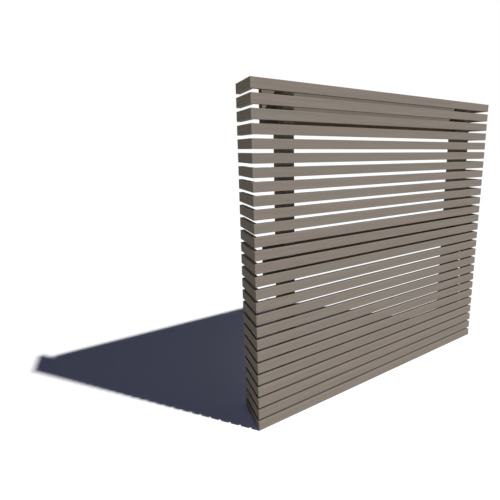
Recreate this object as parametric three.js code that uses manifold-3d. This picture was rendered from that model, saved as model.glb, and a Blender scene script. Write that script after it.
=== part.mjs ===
// Garden privacy screen: horizontal slats on two posts and three rails, U-shaped in plan.
// Millimetres, +Z up, +Y to the back. The origin is the bottom centre of the bounding box.
import * as THREE from 'three';
import { mergeVertices } from 'three/addons/utils/BufferGeometryUtils.js';
import Module from 'manifold-3d';

const wasm = await Module();
wasm.setup();

// ---- Driving dimensions ----

// Slats
const COURSES = 27;
const SLAT_HEIGHT = 49;
const SLAT_GAP = 18.5;
const SLAT_THICKNESS = 22;
const SCREEN_WIDTH = 1820;
const RETURN_DEPTH = 200;

// Posts
const POST_WIDTH = 57;
const POST_DEPTH = 121;
const POST_INSET = 175;        // outer face of the screen to the outer face of the post
const POST_TOP_DROP = 24;      // top of the highest slat to the top of the post

// Rails
const RAIL_HEIGHT = 200;
const RAIL_THICKNESS = 40;
const RAIL_END_INSET = 98;     // outer face of the screen to the end of the rail

// Coach screws and washers
const SCREW_SHANK_DIAMETER = 8;
const SCREW_BITE = 42;         // length inside the post
const SCREW_TIP = 8;           // tapered part of that length
const SCREW_POINT_DIAMETER = 1;
const SCREW_HEAD_ACROSS_FLATS = 13;
const SCREW_HEAD_HEIGHT = 5.5;
const SCREW_EDGE_DISTANCE = 50; // edge of the rail to the axis of the screw
const WASHER_DIAMETER = 24;
const WASHER_THICKNESS = 2;
const ROUND_SIDES = 12;         // corners of a round shank or hole
const HEXAGON_SIDES = 6;

// Clearances
const SEAT_CLEARANCE = 0.3;    // between pieces that touch
const PILOT_DEPTH_SPARE = 3;   // hole past the point of the screw
const CUT_OVERRUN = 1;         // a cutting rod past the face it opens
const MERGE_TOLERANCE = 1e-4;  // corners closer than this are one corner

// ---- Derived places ----

const screenHeight = COURSES * SLAT_HEIGHT + (COURSES - 1) * SLAT_GAP;
const halfWidth = SCREEN_WIDTH / 2;
const frontFace = -RETURN_DEPTH / 2;
const slatBack = frontFace + SLAT_THICKNESS;
const postFront = slatBack + SEAT_CLEARANCE;
const postBack = postFront + POST_DEPTH;
const railFront = postBack - RAIL_THICKNESS;
const postCentre = halfWidth - POST_INSET - POST_WIDTH / 2;
const postTop = screenHeight - POST_TOP_DROP;
const washerFront = postBack + SEAT_CLEARANCE;
const headFront = washerFront + WASHER_THICKNESS + SEAT_CLEARANCE;
const shankRadius = SCREW_SHANK_DIAMETER / 2;
const holeRadius = shankRadius + SEAT_CLEARANCE;
const screwPoint = railFront - SCREW_BITE;

const railBottoms = {
  bottom: 0,
  middle: (screenHeight - RAIL_HEIGHT) / 2,
  top: screenHeight - RAIL_HEIGHT,
};
const sides = { left: -1, right: 1 };
const screwRows = { lower: SCREW_EDGE_DISTANCE, upper: RAIL_HEIGHT - SCREW_EDGE_DISTANCE };

// ---- Materials ----

const slatTimber = new THREE.MeshStandardMaterial({ color: 0x8a8277, roughness: 0.85, metalness: 0 });
const frameTimber = new THREE.MeshStandardMaterial({ color: 0x7d7569, roughness: 0.88, metalness: 0 });
const steel = new THREE.MeshStandardMaterial({ color: 0x9b9d9f, roughness: 0.45, metalness: 0.9 });

// ---- Solids ----

function toManifold(geometry) {
  const bare = geometry.clone();
  bare.deleteAttribute('normal');
  bare.deleteAttribute('uv');
  const merged = mergeVertices(bare, MERGE_TOLERANCE);
  return new wasm.Manifold(new wasm.Mesh({
    numProp: 3,
    vertProperties: new Float32Array(merged.attributes.position.array),
    triVerts: new Uint32Array(merged.index.array),
  }));
}

function toGeometry(solid) {
  const mesh = solid.getMesh();
  const geometry = new THREE.BufferGeometry();
  geometry.setAttribute('position', new THREE.BufferAttribute(mesh.vertProperties, 3));
  geometry.setIndex(new THREE.BufferAttribute(mesh.triVerts, 1));
  return geometry;
}

function cutHoles(geometry, holes) {
  let solid = toManifold(geometry);
  for (const hole of holes) solid = solid.subtract(toManifold(hole));
  return toGeometry(solid);
}

// A closed outline of [a, b] pairs as a THREE.Shape.
function outline(points) {
  return new THREE.Shape(points.map(([a, b]) => new THREE.Vector2(a, b)));
}

// A rod along Y from front to back.
function rod(radius, front, back, sideCount) {
  const geometry = new THREE.CylinderGeometry(radius, radius, back - front, sideCount);
  return geometry.translate(0, (front + back) / 2, 0);
}

// ---- Pieces ----

// One course: the front slat with its two returns, mitred and glued into a U.
function slatCourse() {
  const inside = halfWidth - SLAT_THICKNESS;
  const back = -frontFace;
  const plan = outline([
    [-halfWidth, frontFace], [halfWidth, frontFace], [halfWidth, back], [inside, back],
    [inside, slatBack], [-inside, slatBack], [-inside, back], [-halfWidth, back],
  ]);
  return new THREE.ExtrudeGeometry(plan, { depth: SLAT_HEIGHT, bevelEnabled: false });
}

// The side view of a post, with an open notch in its back for each rail.
function postProfile() {
  const notchFront = railFront - SEAT_CLEARANCE;
  const points = [[postFront, 0], [postFront, postTop]];
  for (const bottom of [railBottoms.top, railBottoms.middle, railBottoms.bottom]) {
    const low = bottom - SEAT_CLEARANCE;
    const high = bottom + RAIL_HEIGHT + SEAT_CLEARANCE;
    if (high < postTop) points.push([postBack, high]);
    points.push([notchFront, Math.min(high, postTop)], [notchFront, Math.max(low, 0)]);
    if (low > 0) points.push([postBack, low]);
  }
  return outline(points);
}

// Extruded across the screen: the outline's axes become Y and Z, its depth becomes X.
function extrudeAcross(shape, width) {
  const geometry = new THREE.ExtrudeGeometry(shape, { depth: width, bevelEnabled: false });
  const turn = new THREE.Matrix4().makeBasis(
    new THREE.Vector3(0, 1, 0), new THREE.Vector3(0, 0, 1), new THREE.Vector3(1, 0, 0));
  return geometry.translate(0, 0, -width / 2).applyMatrix4(turn);
}

function screwHeights(bottom) {
  return Object.values(screwRows).map((row) => bottom + row);
}

function post() {
  const holes = [];
  for (const bottom of Object.values(railBottoms)) {
    for (const height of screwHeights(bottom)) {
      const hole = rod(holeRadius, screwPoint - PILOT_DEPTH_SPARE, railFront + CUT_OVERRUN, ROUND_SIDES);
      holes.push(hole.translate(0, 0, height));
    }
  }
  return cutHoles(extrudeAcross(postProfile(), POST_WIDTH), holes);
}

function rail() {
  const length = SCREEN_WIDTH - 2 * RAIL_END_INSET;
  const beam = new THREE.BoxGeometry(length, RAIL_THICKNESS, RAIL_HEIGHT);
  beam.translate(0, railFront + RAIL_THICKNESS / 2, RAIL_HEIGHT / 2);
  const holes = [];
  for (const side of Object.values(sides)) {
    for (const height of screwHeights(0)) {
      const hole = rod(holeRadius, railFront - CUT_OVERRUN, postBack + CUT_OVERRUN, ROUND_SIDES);
      holes.push(hole.translate(side * postCentre, 0, height));
    }
  }
  return cutHoles(beam, holes);
}

// Hexagon head, round shank and a point, along Y with the point to the front.
function coachScrew() {
  const headRadius = SCREW_HEAD_ACROSS_FLATS / Math.sqrt(3);
  const head = rod(headRadius, headFront, headFront + SCREW_HEAD_HEIGHT, HEXAGON_SIDES);
  const shank = rod(shankRadius, screwPoint + SCREW_TIP, headFront + SCREW_HEAD_HEIGHT / 2, ROUND_SIDES);
  const tip = new THREE.CylinderGeometry(shankRadius, SCREW_POINT_DIAMETER / 2, SCREW_TIP, ROUND_SIDES);
  tip.translate(0, screwPoint + SCREW_TIP / 2, 0);
  return toGeometry(toManifold(head).add(toManifold(shank)).add(toManifold(tip)));
}

function washer() {
  const back = washerFront + WASHER_THICKNESS;
  const hole = rod(holeRadius, washerFront - CUT_OVERRUN, back + CUT_OVERRUN, ROUND_SIDES);
  const disc = rod(WASHER_DIAMETER / 2, washerFront, back, 2 * ROUND_SIDES);
  return cutHoles(disc, [hole]);
}

// ---- Assembly ----

const screen = new THREE.Group();

function place(name, geometry, material, x = 0, z = 0) {
  const mesh = new THREE.Mesh(geometry, material);
  mesh.name = name;
  mesh.position.set(x, 0, z);
  screen.add(mesh);
}

const courseShape = slatCourse();
for (let i = 0; i < COURSES; i++) {
  const name = `slat_course_${String(i + 1).padStart(2, '0')}`;
  place(name, courseShape, slatTimber, 0, i * (SLAT_HEIGHT + SLAT_GAP));
}

const postShape = post();
for (const [sideName, side] of Object.entries(sides)) {
  place(`post_${sideName}`, postShape, frameTimber, side * postCentre);
}

const railShape = rail();
const screwShape = coachScrew();
const washerShape = washer();
for (const [railName, bottom] of Object.entries(railBottoms)) {
  place(`rail_${railName}`, railShape, frameTimber, 0, bottom);
  for (const [sideName, side] of Object.entries(sides)) {
    for (const [rowName, row] of Object.entries(screwRows)) {
      const label = `${railName}_${sideName}_${rowName}`;
      place(`coach_screw_${label}`, screwShape, steel, side * postCentre, bottom + row);
      place(`washer_${label}`, washerShape, steel, side * postCentre, bottom + row);
    }
  }
}

export default screen;
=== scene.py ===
# Looks of the garden privacy screen: stained timber slats on a posted frame, in soft studio light.
import math

import bmesh
import bpy
from mathutils import Matrix, Vector


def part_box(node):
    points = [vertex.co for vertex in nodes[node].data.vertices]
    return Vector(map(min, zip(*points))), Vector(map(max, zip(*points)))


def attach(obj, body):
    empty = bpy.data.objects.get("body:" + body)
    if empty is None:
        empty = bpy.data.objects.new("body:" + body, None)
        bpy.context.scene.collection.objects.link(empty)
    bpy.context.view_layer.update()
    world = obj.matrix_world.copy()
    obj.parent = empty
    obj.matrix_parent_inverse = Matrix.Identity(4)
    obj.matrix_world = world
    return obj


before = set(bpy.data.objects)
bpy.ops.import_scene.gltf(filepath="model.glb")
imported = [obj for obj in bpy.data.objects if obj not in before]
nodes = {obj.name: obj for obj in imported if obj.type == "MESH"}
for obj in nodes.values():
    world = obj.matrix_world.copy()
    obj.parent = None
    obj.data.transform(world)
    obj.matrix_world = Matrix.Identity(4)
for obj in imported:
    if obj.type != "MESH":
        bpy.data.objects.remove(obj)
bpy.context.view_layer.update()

# ---- Measures taken from the frame, in metres ----

X, Y, Z = range(3)


def names_of(prefix):
    return sorted(name for name in nodes if name.startswith(prefix))


COURSE_NAMES = names_of("slat_course_")
POST_NAMES = names_of("post_")
RAIL_NAMES = names_of("rail_")
SCREW_NAMES = names_of("coach_screw_")
WASHER_NAMES = names_of("washer_")

first_low, first_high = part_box(COURSE_NAMES[0])
second_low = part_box(COURSE_NAMES[1])[0]
post_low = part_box(POST_NAMES[0])[0]
SLAT_HEIGHT = first_high.z - first_low.z
SLAT_PITCH = second_low.z - first_low.z
HALF_WIDTH = first_high.x
FRONT = first_low.y
SLAT_THICKNESS = post_low.y - FRONT     # with the thin joint between slat and post

# ---- Camera, at the photograph's viewing point ----

IMAGE_SIZE = 500                        # pixels
SENSOR_WIDTH = 36.0                     # millimetres
FOCAL_PIXELS = 321.3                    # focal length in pixels of the photograph's frame
PRINCIPAL_X = 305.5                     # pixel that the camera's axis passes through
PRINCIPAL_Y = 203.7
CAMERA_PLACE = (-1.450, -1.515, 1.479)
CAMERA_PITCH = 0.1645                   # radians below level
CAMERA_YAW = 0.5279                     # radians to the right of +Y
CLIP_END = 500                          # metres, past the edge of the floor


def make_camera():
    data = bpy.data.cameras.new("camera")
    data.sensor_width = SENSOR_WIDTH
    data.lens = FOCAL_PIXELS * SENSOR_WIDTH / IMAGE_SIZE
    data.shift_x = (IMAGE_SIZE / 2 - PRINCIPAL_X) / IMAGE_SIZE
    data.shift_y = (PRINCIPAL_Y - IMAGE_SIZE / 2) / IMAGE_SIZE
    data.clip_end = CLIP_END
    camera = bpy.data.objects.new("camera", data)
    camera.location = CAMERA_PLACE
    camera.rotation_euler = (math.pi / 2 - CAMERA_PITCH, 0, -CAMERA_YAW)
    bpy.context.scene.collection.objects.link(camera)
    bpy.context.scene.camera = camera


# ---- Node helpers ----

class Nodes:
    """Short calls for building the shader tree of a material or a world."""

    def __init__(self, owner):
        owner.use_nodes = True
        self.owner = owner
        self.tree = owner.node_tree
        self.tree.nodes.clear()

    def add(self, kind, inputs=None, **settings):
        node = self.tree.nodes.new(kind)
        for key, value in settings.items():
            setattr(node, key, value)
        for key, value in (inputs or {}).items():
            self.set(node.inputs[key], value)
        return node

    def set(self, socket, value):
        if isinstance(value, bpy.types.NodeSocket):
            self.tree.links.new(value, socket)
        else:
            socket.default_value = value

    def math(self, operation, a, b=0.0, c=0.0):
        node = self.add("ShaderNodeMath", operation=operation)
        for socket, value in zip(node.inputs, (a, b, c)):
            self.set(socket, value)
        return node.outputs[0]

    def mix(self, factor, a, b, kind="RGBA"):
        inputs = {"Factor": factor, "A": a, "B": b}
        return self.add("ShaderNodeMix", inputs, data_type=kind).outputs["Result"]

    def vector(self, x, y, z):
        return self.add("ShaderNodeCombineXYZ", {X: x, Y: y, Z: z}).outputs[0]

    def split(self, vector):
        return self.add("ShaderNodeSeparateXYZ", {"Vector": vector}).outputs

    def remap(self, value, low, high, to_low=0.0, to_high=1.0, smooth=False):
        kind = "SMOOTHSTEP" if smooth else "LINEAR"
        node = self.add("ShaderNodeMapRange", interpolation_type=kind, clamp=True)
        for socket, number in zip(node.inputs, (value, low, high, to_low, to_high)):
            self.set(socket, number)
        return node.outputs[0]

    def wave(self, phase):
        """A sine wave that repeats each time the phase grows by 1."""
        return self.math("SINE", self.math("MULTIPLY", phase, 2 * math.pi))

    def noise(self, vector, scale, detail, roughness=0.55, distortion=0.0):
        node = self.add("ShaderNodeTexNoise", {
            "Vector": vector, "Scale": scale, "Detail": detail,
            "Roughness": roughness, "Distortion": distortion})
        return node.outputs["Fac"]

    def bump(self, height, distance, strength=0.5):
        inputs = {"Height": height, "Distance": distance, "Strength": strength}
        return self.add("ShaderNodeBump", inputs).outputs[0]

    def output(self, kind, shader):
        """Ends the tree with a shader node and returns what the tree belongs to."""
        self.add(kind, {0: shader.outputs[0]})
        return self.owner

    def finish(self, colour, roughness, normal, specular, metallic=0.0):
        shader = self.add("ShaderNodeBsdfPrincipled", {
            "Base Color": colour, "Roughness": roughness, "Normal": normal,
            "Metallic": metallic, "Specular IOR Level": specular})
        return self.output("ShaderNodeOutputMaterial", shader)


def material_nodes(name):
    return Nodes(bpy.data.materials.new(name))


def srgb(r, g, b):
    """A linear colour from 0 to 255 screen values."""
    def linear(v):
        v /= 255
        return v / 12.92 if v <= 0.04045 else ((v + 0.055) / 1.055) ** 2.4
    return (linear(r), linear(g), linear(b), 1.0)


def grey(value):
    return (value, value, value, 1.0)


# ---- Timber ----

STAIN = srgb(139, 130, 120)             # taupe
STAIN_WARM = srgb(143, 131, 123)
STAIN_COOL = srgb(134, 129, 119)
STAIN_DARK = srgb(120, 110, 100)        # where the fibres show through
STAIN_PALE = srgb(152, 144, 134)
STAIN_SPECULAR = 0.08
STAIN_ROUGHNESS = (0.78, 0.9)
ROUGHNESS_SPAN = (0.3, 0.7)             # values of the fibres between which the roughness grows

# Patterns: noise scales along and across the fibres, per metre
CLOUD_SCALES = (1.3, 9.0)
BAND_SCALES = (2.2, 70.0)
FIBRE_SCALES = (9.0, 520.0)
PORE_SCALES = (26.0, 900.0)
ARCH_SCALES = (1.1, 10.0)

# Growth rings on the sides of a board
RINGS_UP = 34.0                         # rings per metre up the board
RINGS_ACROSS = 12.0                     # and across it
ARCH_RINGS = 9.0                        # how far the arches bend them, in rings

# The values between which each pattern begins to show and shows fully
CLOUD_SPAN = (0.3, 0.7)
PALE_BAND_SPAN = (0.45, 0.8)
DARK_BAND_SPAN = (0.5, 0.25)
RING_SPAN = (0.15, 1.0)
FIBRE_SPAN = (0.5, 0.75)
PORE_SPAN = (0.66, 0.72)

# The share of its stain that each pattern brings
CLOUD_SHARES = (0.2, 0.8)               # least and most
BAND_SHARE = 0.35
RING_SHARE = 0.12
FIBRE_SHARE = 0.3
PORE_SHARE = 0.4

# The share of each pattern in the relief; pores are sunk
FIBRE_RELIEF = 0.6
BAND_RELIEF = 0.4
PORE_RELIEF = 0.5

# How far one board's pattern lies from the next one's, in metres for each unit of its seed
RUN_SHIFT = 7.3
SIDE_SHIFT = 3.1

# Sawn ends
END_GRAIN = srgb(106, 97, 86)
END_RING = srgb(84, 74, 63)
END_RING_SPACING = 0.0028
END_RING_SPAN = (-0.2, 1.0)
END_RING_SHARE = 0.8
END_WANDER_SCALE = 55.0
PITH_DISTANCE = 0.035                   # from the lower edge of a board to the centre of its rings
PITH_SPREAD = 0.04

# Wear along the arrises
EDGE_WEAR = 0.0022                      # how far it reaches
WEAR_SHARE = 0.4
FACING_SPAN = (0.8, 0.95)               # part of the normal along an axis that makes a face look along it


def streak(tree, colour, pattern, span, share, tint, smooth=False):
    """Mixes the tint into the colour as the pattern crosses the span, up to the share."""
    return tree.mix(tree.remap(pattern, *span, 0.0, share, smooth=smooth), colour, tint)


def timber(tree, along, across, up, tone, seed_a, seed_b):
    """Stained timber whose fibres run along `along`; tone and seeds differ from board to board."""
    shift = tree.math("MULTIPLY", seed_a, RUN_SHIFT)
    run = tree.math("ADD", along, shift)
    side = tree.math("ADD", across, tree.math("MULTIPLY", seed_b, SIDE_SHIFT))
    rise = tree.math("ADD", up, shift)

    def grain(scales, **settings):
        along_scale, across_scale = scales
        vector = tree.vector(tree.math("MULTIPLY", run, along_scale),
                             tree.math("MULTIPLY", side, across_scale),
                             tree.math("MULTIPLY", rise, across_scale))
        return tree.noise(vector, 1.0, **settings)

    clouds = grain(CLOUD_SCALES, detail=3.0)
    bands = grain(BAND_SCALES, detail=4.0, roughness=0.6, distortion=0.4)
    fibres = grain(FIBRE_SCALES, detail=5.0, roughness=0.7, distortion=0.15)
    pores = grain(PORE_SCALES, detail=2.0, roughness=0.5)
    arches = grain(ARCH_SCALES, detail=2.0)

    # Growth rings cut flat: arches that wander along the board.
    rings_deep = tree.math("ADD", tree.math("MULTIPLY", rise, RINGS_UP),
                           tree.math("MULTIPLY", side, RINGS_ACROSS))
    rings = tree.wave(tree.math("ADD", rings_deep, tree.math("MULTIPLY", arches, ARCH_RINGS)))

    colour = tree.mix(tone, STAIN_COOL, STAIN_WARM)
    colour = tree.mix(tree.remap(clouds, *CLOUD_SPAN, *CLOUD_SHARES), colour, STAIN)
    colour = streak(tree, colour, bands, PALE_BAND_SPAN, BAND_SHARE, STAIN_PALE)
    colour = streak(tree, colour, bands, DARK_BAND_SPAN, BAND_SHARE, STAIN_DARK)
    colour = streak(tree, colour, rings, RING_SPAN, RING_SHARE, STAIN_DARK, smooth=True)
    colour = streak(tree, colour, fibres, FIBRE_SPAN, FIBRE_SHARE, STAIN_DARK)
    colour = streak(tree, colour, pores, PORE_SPAN, PORE_SHARE, STAIN_DARK)

    height = tree.math("ADD", tree.math("MULTIPLY", fibres, FIBRE_RELIEF),
                       tree.math("MULTIPLY", bands, BAND_RELIEF))
    height = tree.math("SUBTRACT", height, tree.remap(pores, *PORE_SPAN, 0.0, PORE_RELIEF))
    roughness = tree.remap(fibres, *ROUGHNESS_SPAN, *STAIN_ROUGHNESS)
    return colour, roughness, height


def end_grain(tree, across, up, seed):
    """Growth rings on a sawn end: arcs round a pith below the board, in metres of the section."""
    pith = tree.math("MULTIPLY_ADD", seed, PITH_SPREAD, PITH_DISTANCE)
    section = tree.vector(across, tree.math("ADD", up, pith), 0.0)
    reach = tree.add("ShaderNodeVectorMath", {0: section}, operation="LENGTH").outputs["Value"]
    wander = tree.noise(section, END_WANDER_SCALE, detail=2.0)
    rings = tree.wave(tree.math("ADD", tree.math("DIVIDE", reach, END_RING_SPACING), wander))
    return streak(tree, END_GRAIN, rings, END_RING_SPAN, END_RING_SHARE, END_RING, smooth=True)


def to_edge(tree, position, size, is_facing):
    """Distance to the nearer of two edges; large on the faces that look along this axis."""
    nearer = tree.math("MINIMUM", position, tree.math("SUBTRACT", size, position))
    return tree.math("ADD", nearer, is_facing)


def worn(tree, colour, distances):
    """Paler stain along the arrises."""
    nearest = distances[0]
    for distance in distances[1:]:
        nearest = tree.math("MINIMUM", nearest, distance)
    return streak(tree, colour, nearest, (EDGE_WEAR, 0.0), WEAR_SHARE, STAIN_PALE, smooth=True)


def object_space(tree):
    """The object's own space, which is the row's frame."""
    return tree.add("ShaderNodeTexCoord").outputs["Object"]


def facing(tree, axis):
    """1 where the surface faces along the axis, either way."""
    normal = tree.add("ShaderNodeNewGeometry").outputs["True Normal"]
    return tree.remap(tree.math("ABSOLUTE", tree.split(normal)[axis]), *FACING_SPAN)


# ---- Slats ----

SLAT_RELIEF = 0.0004
COURSE_MARGIN = 0.2                     # share of the pitch, below a slat, that counts with its course
RETURN_SEED = 0.31                      # from the seed of a front slat to those of its returns
MITRE_LINE = srgb(52, 45, 38)
MITRE_HALF_WIDTH = 0.0004
MITRE_SHARE = 0.8


def slat_material():
    """Front slats run along X, returns along Y, and the mitre between them is a dark hairline."""
    tree = material_nodes("slat_timber")
    x, y, z = tree.split(object_space(tree))
    from_side = tree.math("SUBTRACT", HALF_WIDTH, tree.math("ABSOLUTE", x))
    from_front = tree.math("SUBTRACT", y, FRONT)
    past_mitre = tree.math("SUBTRACT", from_front, from_side)
    is_return = tree.math("GREATER_THAN", past_mitre, 0.0)
    side = tree.math("MULTIPLY", tree.math("SIGN", x), is_return)

    raised = tree.math("ADD", z, COURSE_MARGIN * SLAT_PITCH)
    course = tree.math("FLOOR", tree.math("DIVIDE", raised, SLAT_PITCH))
    board = tree.math("ADD", course, tree.math("MULTIPLY", side, RETURN_SEED))
    chance = tree.add("ShaderNodeTexWhiteNoise", {"W": board}, noise_dimensions="1D")
    tone, seed_a, seed_b = tree.add("ShaderNodeSeparateColor", {"Color": chance.outputs["Color"]}).outputs

    along = tree.mix(is_return, x, y, "FLOAT")
    across = tree.mix(is_return, y, x, "FLOAT")
    colour, roughness, height = timber(tree, along, across, z, tone, seed_a, seed_b)

    in_course = tree.math("SUBTRACT", z, tree.math("MULTIPLY", course, SLAT_PITCH))
    faces_side, faces_end, faces_up = [facing(tree, axis) for axis in (X, Y, Z)]
    through = tree.mix(is_return, from_front, from_side, "FLOAT")
    faces_out = tree.mix(is_return, faces_end, faces_side, "FLOAT")
    colour = worn(tree, colour, [to_edge(tree, in_course, SLAT_HEIGHT, faces_up),
                                 to_edge(tree, through, SLAT_THICKNESS, faces_out)])
    sawn_end = tree.math("MULTIPLY", faces_end, is_return)
    colour = tree.mix(sawn_end, colour, end_grain(tree, from_side, in_course, seed_a))

    seam = tree.math("LESS_THAN", tree.math("ABSOLUTE", past_mitre), MITRE_HALF_WIDTH * math.sqrt(2))
    colour = tree.mix(tree.math("MULTIPLY", seam, MITRE_SHARE), colour, MITRE_LINE)
    return tree.finish(colour, roughness, tree.bump(height, SLAT_RELIEF), STAIN_SPECULAR)


# ---- Posts and rails ----

FRAME_TINT = 0.2                        # share of the darker stain
SAWN_RELIEF = 0.0008
SAWN_BUMP = 0.7
SECOND_SEED = 17.0                      # makes another seed from the object's own one


def beam_material(name, axis, sample):
    """Posts and rails: sawn timber with its fibres along the given axis, sized as the sample node."""
    tree = material_nodes(name)
    low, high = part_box(sample)
    size = high - low
    place = tree.split(object_space(tree))
    section = [i for i in (X, Y, Z) if i != axis]
    across, up = [place[i] for i in section]
    seed = tree.add("ShaderNodeObjectInfo").outputs["Random"]
    other = tree.math("FRACT", tree.math("MULTIPLY", seed, SECOND_SEED))
    colour, roughness, height = timber(tree, place[axis], across, up, seed, other, seed)
    colour = tree.mix(FRAME_TINT, colour, STAIN_DARK)

    shares = tree.split(tree.add("ShaderNodeTexCoord").outputs["Generated"])
    own = [tree.math("MULTIPLY", shares[i], size[i]) for i in (X, Y, Z)]
    faces = [facing(tree, i) for i in (X, Y, Z)]
    colour = worn(tree, colour, [to_edge(tree, own[i], size[i], faces[i]) for i in (X, Y, Z)])
    sawn_end = end_grain(tree, own[section[0]], own[section[1]], other)
    colour = tree.mix(faces[axis], colour, sawn_end)
    return tree.finish(colour, roughness, tree.bump(height, SAWN_RELIEF, SAWN_BUMP), STAIN_SPECULAR)


# ---- Fastenings ----

FINE_RELIEF = 0.0001

FILLER = srgb(116, 106, 95)
FILLER_SPECK = srgb(134, 126, 115)
FILLER_SPECK_SCALE = 1400.0
FILLER_SPECK_SPAN = (0.4, 0.65)
FILLER_ROUGHNESS = 0.9

ZINC_DARK = srgb(146, 148, 150)
ZINC_PALE = srgb(176, 178, 180)
SPANGLE_SCALE = 420.0
SPOT = srgb(120, 112, 104)
SPOT_SCALE = 900.0
SPOT_SPAN = (0.55, 0.75)
SPOT_SHARE = 0.5
STEEL_ROUGHNESS = (0.42, 0.58)
STEEL_METALLIC = 0.85
STEEL_SPECULAR = 0.5


def filler_material():
    """Wood filler over the heads of the pins, sanded flush."""
    tree = material_nodes("pin_filler")
    specks = tree.noise(object_space(tree), FILLER_SPECK_SCALE, detail=3.0)
    colour = tree.mix(tree.remap(specks, *FILLER_SPECK_SPAN), FILLER, FILLER_SPECK)
    return tree.finish(colour, FILLER_ROUGHNESS, tree.bump(specks, FINE_RELIEF), STAIN_SPECULAR)


def steel_material():
    """Dull galvanised steel with a faint spangle."""
    tree = material_nodes("steel")
    place = object_space(tree)
    spangle = tree.add("ShaderNodeTexVoronoi", {"Vector": place, "Scale": SPANGLE_SCALE})
    flake = tree.add("ShaderNodeSeparateColor", {"Color": spangle.outputs["Color"]}).outputs[0]
    spots = tree.noise(place, SPOT_SCALE, detail=3.0)
    colour = tree.mix(flake, ZINC_DARK, ZINC_PALE)
    colour = streak(tree, colour, spots, SPOT_SPAN, SPOT_SHARE, SPOT)
    roughness = tree.remap(flake, 0.0, 1.0, *STEEL_ROUGHNESS)
    return tree.finish(colour, roughness, tree.bump(spots, FINE_RELIEF), STEEL_SPECULAR, STEEL_METALLIC)


# ---- Pieces ----

SLAT_ARRIS = 0.0007
BEAM_ARRIS = 0.002
SCREW_ARRIS = 0.0006
WASHER_ARRIS = 0.0003
ARRIS_ANGLE = math.radians(30)          # least turn between two faces that gets an eased edge
WELD_DISTANCE = 1e-5


def dress(names, material, arris, segments=2):
    """Gives CAD nodes their material and eased edges."""
    for name in names:
        piece = nodes[name]
        piece.data.materials.clear()
        piece.data.materials.append(material)
        weld = piece.modifiers.new("weld", "WELD")
        weld.merge_threshold = WELD_DISTANCE
        bevel = piece.modifiers.new("arris", "BEVEL")
        bevel.width = arris
        bevel.segments = segments
        bevel.limit_method = "ANGLE"
        bevel.angle_limit = ARRIS_ANGLE


PIN_RADIUS = 0.0019
PIN_CROWN = 0.00012                     # how far the filler stands proud of the slat
PIN_SIDE_STEP = 0.014                   # from the middle of the post to each pin of a crossing
PIN_RISE_STEP = 0.011                   # from the middle of the slat to each pin
PIN_POST_COVER = 0.008                  # least timber of the post above a pin
PIN_SIDES = 12
PIN_RINGS = 6


def make_pins(name, post_name, material):
    """Filled pin heads where the front slats cross one post, two on each slat."""
    low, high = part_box(post_name)
    middle = (low.x + high.x) / 2
    heads = bmesh.new()
    crown = Matrix.Rotation(math.pi / 2, 4, "X") @ Matrix.Diagonal((1, 1, PIN_CROWN / PIN_RADIUS, 1))
    for course_name in COURSE_NAMES:
        course_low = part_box(course_name)[0]
        for side in (-1, 1):
            height = course_low.z + SLAT_HEIGHT / 2 + side * PIN_RISE_STEP
            height = min(height, high.z - PIN_POST_COVER)
            centre = Matrix.Translation((middle + side * PIN_SIDE_STEP, FRONT, height))
            bmesh.ops.create_uvsphere(heads, u_segments=PIN_SIDES, v_segments=PIN_RINGS,
                                      radius=PIN_RADIUS, matrix=centre @ crown)
    mesh = bpy.data.meshes.new(name)
    heads.to_mesh(mesh)
    heads.free()
    mesh.materials.append(material)
    pins = bpy.data.objects.new(name, mesh)
    bpy.context.scene.collection.objects.link(pins)
    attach(pins, "root")


# ---- Stage ----

FLOOR_HALF = 60.0                       # metres from the middle of the floor to its edge
FLOOR_BOUNCE = 0.65                     # the floor's colour where it lights the object
FLOOR_WHITE = 1.03                      # brightness of the sunlit floor in the picture
PAINTED_SKYLIGHT_GLOW = (0.010, 0.017, 0.047, 1.0)    # painted sky light: a faint blue glow over the whole floor, which shows only in its shadow
WORLD_COLOUR = (1.0, 0.9, 0.8, 1.0)
WORLD_STRENGTH = 0.025
SUN_DIRECTION = Vector((-0.636, 0.671, -1.0))
SUN_STRENGTH = 4.0
SUN_ANGLE = math.radians(1.2)
BACK_FILL_DIRECTION = Vector((-0.4, -0.85, 0.0))
BACK_FILL_STRENGTH = 1.6
BACK_FILL_ANGLE = math.radians(12.0)


def sees_stage(tree):
    """1 for rays that show the stage, straight or in a reflection, and 0 for those that light the object."""
    path = tree.add("ShaderNodeLightPath").outputs
    reflected = tree.math("MAXIMUM", path["Is Glossy Ray"], path["Is Transmission Ray"])
    return tree.math("MAXIMUM", path["Is Camera Ray"], reflected)


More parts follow.
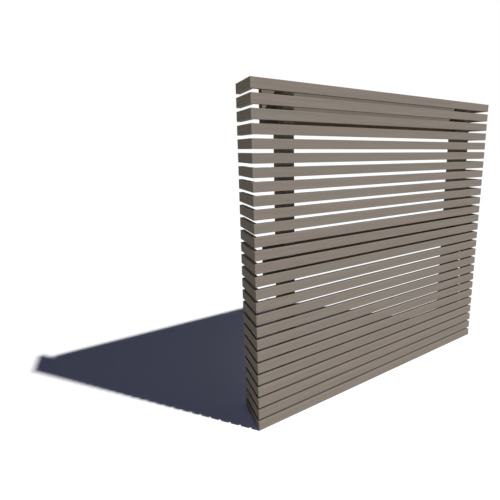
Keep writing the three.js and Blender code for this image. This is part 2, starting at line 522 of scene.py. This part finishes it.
def make_floor():
    mesh = bpy.data.meshes.new("floor")
    corners = [(-FLOOR_HALF, -FLOOR_HALF, 0), (FLOOR_HALF, -FLOOR_HALF, 0),
               (FLOOR_HALF, FLOOR_HALF, 0), (-FLOOR_HALF, FLOOR_HALF, 0)]
    mesh.from_pydata(corners, [], [(0, 1, 2, 3)])
    floor = bpy.data.objects.new("floor", mesh)
    bpy.context.scene.collection.objects.link(floor)
    tree = material_nodes("floor")
    sun_on_floor = SUN_STRENGTH / math.pi * -SUN_DIRECTION.normalized().z
    white = FLOOR_WHITE / (sun_on_floor + WORLD_STRENGTH)
    lit = tree.add("ShaderNodeBsdfDiffuse", {"Color": grey(white)})
    # The floor glows faintly blue, which paints sky light into its shadow; on the sunlit floor the glow is
    # lost in the white.
    tint = tree.add("ShaderNodeEmission", {"Color": PAINTED_SKYLIGHT_GLOW})
    seen = tree.add("ShaderNodeAddShader", {0: lit.outputs[0], 1: tint.outputs[0]})
    bounce = tree.add("ShaderNodeBsdfDiffuse", {"Color": grey(FLOOR_BOUNCE)})
    shaders = {0: sees_stage(tree), 1: bounce.outputs[0], 2: seen.outputs[0]}
    mixed = tree.add("ShaderNodeMixShader", shaders)
    mesh.materials.append(tree.output("ShaderNodeOutputMaterial", mixed))
    return floor


def make_world():
    tree = Nodes(bpy.data.worlds.new("studio"))
    light = tree.add("ShaderNodeBackground", {"Color": WORLD_COLOUR, "Strength": WORLD_STRENGTH})
    white = tree.add("ShaderNodeBackground", {"Color": grey(1.0), "Strength": 1.0})
    shaders = {0: sees_stage(tree), 1: light.outputs[0], 2: white.outputs[0]}
    mixed = tree.add("ShaderNodeMixShader", shaders)
    bpy.context.scene.world = tree.output("ShaderNodeOutputWorld", mixed)


def make_sun(name, direction, strength, angle):
    data = bpy.data.lights.new(name, "SUN")
    data.energy = strength
    data.angle = angle
    sun = bpy.data.objects.new(name, data)
    sun.rotation_euler = direction.to_track_quat("-Z", "Y").to_euler()
    bpy.context.scene.collection.objects.link(sun)
    return sun


def pass_by(light, item):
    """The light neither falls on this object nor is stopped by it."""
    linking = light.light_linking
    linking.receiver_collection = bpy.data.collections.new(light.name + "_receivers")
    linking.blocker_collection = bpy.data.collections.new(light.name + "_blockers")
    for collection in (linking.receiver_collection, linking.blocker_collection):
        collection.objects.link(item)
        collection.collection_objects[0].light_linking.link_state = "EXCLUDE"


make_camera()
make_world()
floor = make_floor()
make_sun("sun", SUN_DIRECTION, SUN_STRENGTH, SUN_ANGLE)
pass_by(make_sun("back_fill", BACK_FILL_DIRECTION, BACK_FILL_STRENGTH, BACK_FILL_ANGLE), floor)
bpy.context.scene.view_settings.view_transform = "Standard"

dress(COURSE_NAMES, slat_material(), SLAT_ARRIS)
dress(POST_NAMES, beam_material("post_timber", Z, POST_NAMES[0]), BEAM_ARRIS)
dress(RAIL_NAMES, beam_material("rail_timber", X, RAIL_NAMES[0]), BEAM_ARRIS)
steel = steel_material()
dress(SCREW_NAMES, steel, SCREW_ARRIS)
dress(WASHER_NAMES, steel, WASHER_ARRIS, segments=1)
filler = filler_material()
for post_name in POST_NAMES:
    make_pins(post_name.replace("post", "slat_pins"), post_name, filler)
